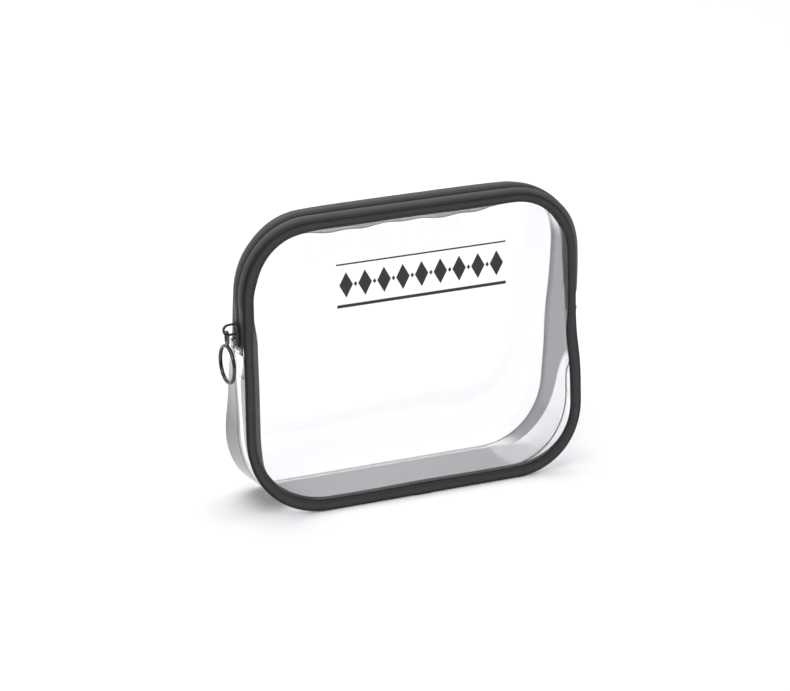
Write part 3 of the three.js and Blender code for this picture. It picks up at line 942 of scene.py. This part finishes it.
def slanted_ends(s, depth, rise):
    """Places a tape so that its ends slant: longest at the binding, and tucked under the clear strip."""
    forward = 1 - np.clip(depth / LANE, 0, 1)
    right = RIGHT_TAIL * forward * (1 - smoothstep(0, 20 * MM, s - ZIP_START))
    left = LEFT_TAIL * forward * (1 - smoothstep(0, 8 * MM, ZIP_STOP - s))
    sink = 1.1 * MM * smoothstep(1 * MM, 6 * MM, right + left)
    return gusset_point(s - right + left, depth, rise - sink)


def zipper_tape(name, mirrored, hidden, body):
    """One half of the zipper's tape. Its face is pressed down where it is held flat; its rolled lip isn't."""
    s = np.linspace(ZIP_START + 0.5 * MM, ZIP_STOP - 0.5 * MM, 520)
    section = thicken(tape_line(-0.45 if mirrored else -2.2), TAPE_THICK)
    puff = puffed(s)[:, None]
    depth = np.repeat(section[None, :, 0], len(s), 0)
    rise = section[None, :, 1]
    pressed = rise * (0.25 + 0.75 * puff) - 0.3 * MM * (1 - puff)
    rise = np.where(rise > -0.5 * MM, pressed, rise)
    if mirrored:
        depth = LANE - depth
    piece = sweep(name, slanted_ends, np.stack((depth, rise), -1), s, closed=False)
    finish_piece(piece, TAPE, body=body, hides=(hidden,))


def zipper_coil(name, side, hidden, body):
    """A nylon helix about a filler cord, inside a tape; the two helices mesh half a turn apart."""
    pitch, radius, wire_radius, cord_radius = 1.35 * MM, 0.74 * MM, 0.32 * MM, 0.44 * MM
    sunk, margin = -2.75 * MM, 2 * MM
    per_turn = 10
    steps = np.arange(int((ZIP_STOP - ZIP_START - 2 * margin) / pitch) * per_turn)
    s = ZIP_START + margin + steps * pitch / per_turn
    turn = 2 * np.pi * steps / per_turn + (0 if side < 0 else np.pi)
    centre = LANE / 2 + side * 0.62 * MM
    outward = gusset_point(s, centre, 0.0) - gusset_point(s, centre, sunk)
    helix = gusset_point(s, centre + radius * np.cos(turn), sunk + radius * np.sin(turn))
    filler = gusset_point(s, centre, sunk)
    piece = join_parts(name, [
        tube(helix, outward, wire_radius, 5),
        tube(filler[::per_turn], outward[::per_turn], cord_radius, 8),
    ])
    finish_piece(piece, NYLON, body=body, hides=(hidden,))


# ---- slider and puller ----
PLATE_OUTER = SLIDER_BOX[0].x + 7.1 * MM        # the bail stands this far out of the slider's plate
PLATE_INNER = PLATE_OUTER + 1.5 * MM
FOOT_OUTER = SLIDER_BOX[1].x - 1.0 * MM
SLIDER_Y = (SLIDER_BOX[0].y + SLIDER_BOX[1].y) / 2
SLIDER_TOP = SLIDER_BOX[1].z
SLIDER_LENGTH = SLIDER_TOP - SLIDER_BOX[0].z


def round_corners(corners, radii):
    """A closed outline with rounded corners; each rounding starts its radius away from the corner."""
    corners = np.array(corners)
    out = []
    for before, here, after, radius in zip(np.roll(corners, 1, 0), corners, np.roll(corners, -1, 0), radii):
        start = here + unit(before - here) * radius
        end = here + unit(after - here) * radius
        for t in np.linspace(0, 1, 9):
            out.append(start * (1 - t) ** 2 + 2 * here * t * (1 - t) + end * t * t)
    return np.array(out)


def slider_outline(grow):
    """Outline of the slider's plates as (y, z): broad at the parted tapes, narrow at the closed zipper."""
    half, broad, narrow = SLIDER_LENGTH / 2 + grow, 4.5 * MM + grow, 3.4 * MM + grow
    corners = [
        (-broad, -half), (broad, -half), (broad, -0.1 * half),
        (narrow, half), (-narrow, half), (-broad, -0.1 * half),
    ]
    return round_corners(corners, np.array((1.8, 1.8, 4, 2.2, 2.2, 4)) * MM)


def domed_plate(levels):
    """A plate built of outlines (x, grow), capped at both ends."""
    rings = [slider_outline(grow) for _, grow in levels]
    points = [(x, SLIDER_Y + y, SLIDER_Z + z) for (x, _), ring in zip(levels, rings) for y, z in ring]
    return points, tube_faces(len(rings), len(rings[0]))


def slider_post():
    """The pin between the slider's two plates, where the tapes part."""
    z = SLIDER_BOX[0].z + 2.7 * MM
    reach = np.linspace(PLATE_OUTER + 0.5 * MM, FOOT_OUTER + 0.5 * MM, 4)
    path = [(x, SLIDER_Y - 0.18 * MM, z) for x in reach]
    return wire(path, (0, 1, 0), 1.6 * MM, 0.45 * MM, closed=False)


def slider_bail():
    """A rounded loop that stands out of the plate's upper half, with its hole along Y."""
    reach = SLIDER_BOX[0].x + 0.6 * MM
    root = PLATE_OUTER + 0.4 * MM
    top, low = SLIDER_TOP - 0.7 * MM, SLIDER_TOP - 6.5 * MM
    loop = [
        (root, top - 0.4 * MM), (root - 1.6 * MM, top + 0.05 * MM), (reach + 1.9 * MM, top - 0.2 * MM),
        (reach + 0.35 * MM, top - 1.5 * MM), (reach, (top + low) / 2), (reach + 0.35 * MM, low + 1.2 * MM),
        (reach + 1.9 * MM, low + 0.05 * MM), (root - 1.6 * MM, low), (root, low + 0.1 * MM),
    ]
    path = [(x, SLIDER_Y, z) for x, z in curve_through(loop, 8)]
    return wire(path, (0, 1, 0), 0.58 * MM, 1.0 * MM, closed=False)


def slider():
    outer_plate = domed_plate([
        (PLATE_INNER, -0.3 * MM), (PLATE_INNER - 0.2 * MM, 0), (PLATE_OUTER + 0.5 * MM, 0),
        (PLATE_OUTER + 0.15 * MM, -0.35 * MM), (PLATE_OUTER, -1.0 * MM),
        (PLATE_OUTER - 0.12 * MM, -2.2 * MM),
    ])
    inner_plate = domed_plate([
        (FOOT_OUTER, -0.7 * MM), (FOOT_OUTER + 0.2 * MM, -0.4 * MM),
        (FOOT_OUTER + 0.75 * MM, -0.4 * MM), (FOOT_OUTER + 1 * MM, -0.8 * MM),
    ])
    parts = [outer_plate, inner_plate, slider_post(), slider_bail()]
    piece = join_parts("zipper_slider", parts, sharp_from=38)
    finish_piece(piece, LACQUER, body="slider", hides=("slider_body",))


def oval(y, top, low, half_wide, wider_at_top, turn):
    """Rounded oblong outline as (y, z) pairs, a little wider at its top if asked."""
    across, up = np.sin(turn), np.cos(turn)
    wide = half_wide + wider_at_top * up
    tall = (top - low) / 2
    return np.stack((y + wide * squarer(across, 0.8), (top + low) / 2 + tall * squarer(up, 0.8)), -1)


def plate_with_hole(hole, outer, x, half_thick):
    """A flat plate with rounded edges between its hole and its outer edge, in the plane of a given x."""
    sides = 16
    turn = np.linspace(0, 2 * np.pi, sides, endpoint=False)
    across = squarer(np.cos(turn), 0.6)
    out = x + half_thick * squarer(np.sin(turn), 0.8)
    centre, half = (hole + outer) / 2, (outer - hole) / 2
    flat = centre[:, None] + half[:, None] * across[:, None]
    points = [(out[k], *place) for row in flat for k, place in enumerate(row)]
    return points, tube_faces(len(flat), sides, closed=True)


def puller():
    """A long eye that hangs in the bail, cast in one with a plain ring."""
    x = (PULLER_BOX[0].x + PULLER_BOX[1].x) / 2
    y = (PULLER_BOX[0].y + PULLER_BOX[1].y) / 2
    outer_radius = (PULLER_BOX[1].y - PULLER_BOX[0].y) / 2
    wire_radius = outer_radius - 1.0 * MM
    ring_z = PULLER_BOX[0].z + outer_radius
    turn = np.linspace(0, 2 * np.pi, 96, endpoint=False)
    path = [(x, y + wire_radius * math.sin(t), ring_z + wire_radius * math.cos(t)) for t in turn]
    ring = wire(path, (1, 0, 0), 0.95 * MM, 1.05 * MM, closed=True)
    eye_top = PULLER_BOX[1].z
    eye_low = ring_z + wire_radius - 0.5 * MM
    around = turn[::2]
    outer = oval(y, eye_top, eye_low, 2.55 * MM, 0.4 * MM, around)
    hole = oval(y, eye_top - 1.3 * MM, eye_top - 5.75 * MM, 1.32 * MM, 0.0, around)
    eye = plate_with_hole(hole, outer, x, 0.68 * MM)
    piece = join_parts("zipper_puller", [ring, eye], sharp_from=38)
    finish_piece(piece, GUNMETAL, body="puller", hides=("ring_puller",))


# ---- scene ----
def area_light(name, location, target, size, power):
    data = bpy.data.lights.new(name, "AREA")
    data.shape = "RECTANGLE"
    data.size, data.size_y = size
    data.energy = power
    lamp = bpy.data.objects.new(name, data)
    bpy.context.scene.collection.objects.link(lamp)
    lamp.location = location
    lamp.rotation_euler = (Vector(target) - Vector(location)).to_track_quat("-Z", "Y").to_euler()


def studio_floor():
    """A pale floor of six metres each way."""
    reach = 6
    corners = [(-reach, -reach, 0), (reach, -reach, 0), (reach, reach, 0), (-reach, reach, 0)]
    floor = make_mesh("studio_floor", corners, [(0, 1, 2, 3)])
    mat, tree, shader = new_material("studio_paper")
    set_inputs(tree, shader, {
        "Base Color": colours(tree, noise(tree, 3, 2), (0.91, 0.9, 0.922), (0.925, 0.915, 0.934)),
        "Roughness": 0.9,
        "Specular IOR Level": 0.1,
    })
    floor.data.materials.append(mat)


def studio_lights():
    """Two soft lamps over the bag, a wide one over the floor behind it, and a sky lighter overhead."""
    middle = (0, 0, 0.09)
    area_light("key_softbox", (-0.7, -0.9, 1.5), middle, (0.9, 0.9), 10)
    area_light("top_softbox", (0.1, 0.4, 1.6), middle, (1.4, 1.4), 10)
    area_light("far_softbox", (0.1, 1.9, 1.7), (0.3, 1.6, 0), (3.2, 1.6), 17)
    world = bpy.data.worlds.new("studio_world")
    bpy.context.scene.world = world
    world.use_nodes = True
    tree = world.node_tree
    up = axes(tree, "Generated")["Z"]
    set_inputs(tree, tree.nodes["Background"], {
        "Strength": eased(tree, up, 0.0, 0.75, 0.34, 0.66),
        "Color": (1, 0.995, 1, 1),
    })


def camera():
    """At the front's left, a little above, with a long lens."""
    azimuth, elevation, distance = math.radians(24.5), math.radians(20), 1.9
    focus = Vector((-13.5 * MM, FRONT_Y, 92.4 * MM))
    level = Vector((-math.sin(azimuth), -math.cos(azimuth), 0))
    away = level * math.cos(elevation) + Vector((0, 0, math.sin(elevation)))
    data = bpy.data.cameras.new("photo_camera")
    data.lens = 155.1
    data.sensor_width = 36
    cam = bpy.data.objects.new("photo_camera", data)
    bpy.context.scene.collection.objects.link(cam)
    cam.location = focus + away * distance
    cam.rotation_euler = (-away).to_track_quat("-Z", "Y").to_euler()
    bpy.context.scene.camera = cam
    bpy.context.scene.view_settings.view_transform = "Standard"


front_window()
binding()
binding_lap()
binding_stitches("front_binding_stitches", face=0, out_sign=1)
binding_stitches("inner_binding_stitches", face=1, out_sign=-1)
printed_motif()
back_panel()
back_strip()
lower_strip()
strip_hem()
zipper_tape("front_zipper_tape", False, "zipper_tape_front", None)
zipper_tape("back_zipper_tape", True, "zipper_tape_back", "pouch")
zipper_coil("front_zipper_coil", -1, "zipper_coil_front", None)
zipper_coil("back_zipper_coil", 1, "zipper_coil_back", "pouch")
top_seam_allowance()
side_seam_allowance()
slider()
puller()

studio_floor()
studio_lights()
camera()
